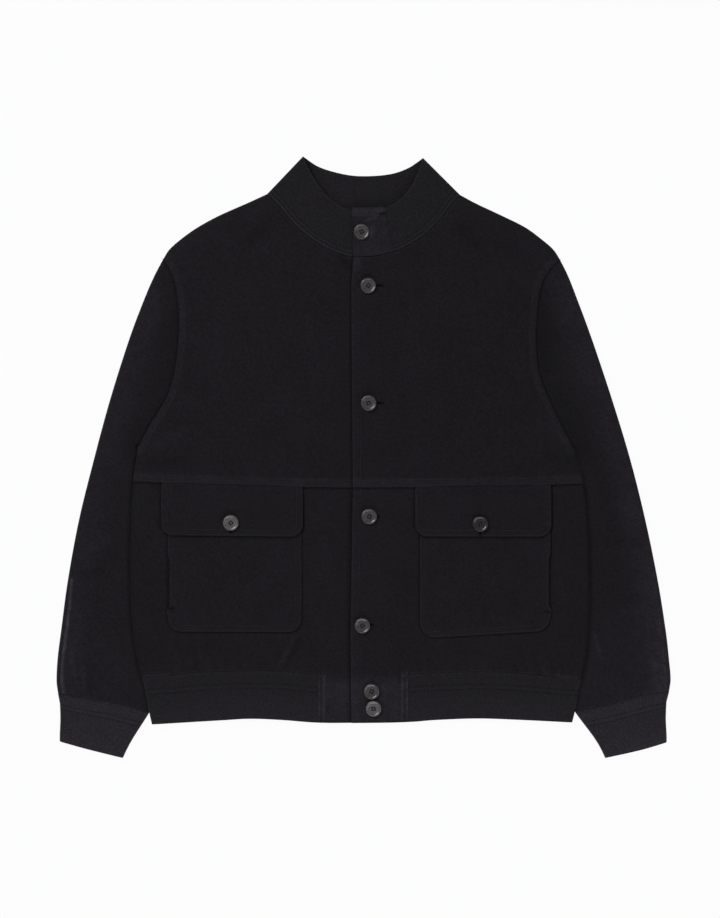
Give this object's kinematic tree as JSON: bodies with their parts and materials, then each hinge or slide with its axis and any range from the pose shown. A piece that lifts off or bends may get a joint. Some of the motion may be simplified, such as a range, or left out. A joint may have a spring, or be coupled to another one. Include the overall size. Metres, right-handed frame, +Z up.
{
  "type": "suede bomber jacket",
  "caption": "Black suede bomber jacket with a knit stand collar, cuffs and hem band, flapped patch pockets and horn-look buttons, buttoned up and laid flat.",
  "frame": {"origin": "middle of the footprint, on the surface that the jacket lies on", "axes": "+Z up, out of the jacket's front; +Y from the hem to the collar; +X to the viewer's right, which is the wearer's left"},
  "size_m": [0.7636, 0.7498, 0.0162],
  "materials": {
    "suede": "near-black suede, short soft nap, fully matt",
    "rib_knit": "near-black fine wool rib knit",
    "horn": "dark horn-look resin, polished"
  },
  "bodies": {
    "root": {"back": "suede", "front_right_upper": "suede", "front_left_upper": "suede", "front_right_lower": "suede", "front_left_lower": "suede", "pocket_right": "suede", "pocket_left": "suede", "flap_right": "suede", "flap_left": "suede", "sleeve_right_top": "suede", "sleeve_right_under": "suede", "sleeve_left_top_upper": "suede", "sleeve_left_top_lower": "suede", "sleeve_left_under": "suede", "collar_tab": "suede", "cuff_right": "rib_knit", "cuff_left": "rib_knit", "hem_band": "rib_knit", "collar_band": "rib_knit", "button_collar": "horn", "button_front_1": "horn", "button_front_2": "horn", "button_front_3": "horn", "button_front_4": "horn", "button_hem_1": "horn", "button_hem_2": "horn", "button_pocket_right": "horn", "button_pocket_left": "horn"}
  },
  "joints": []
}
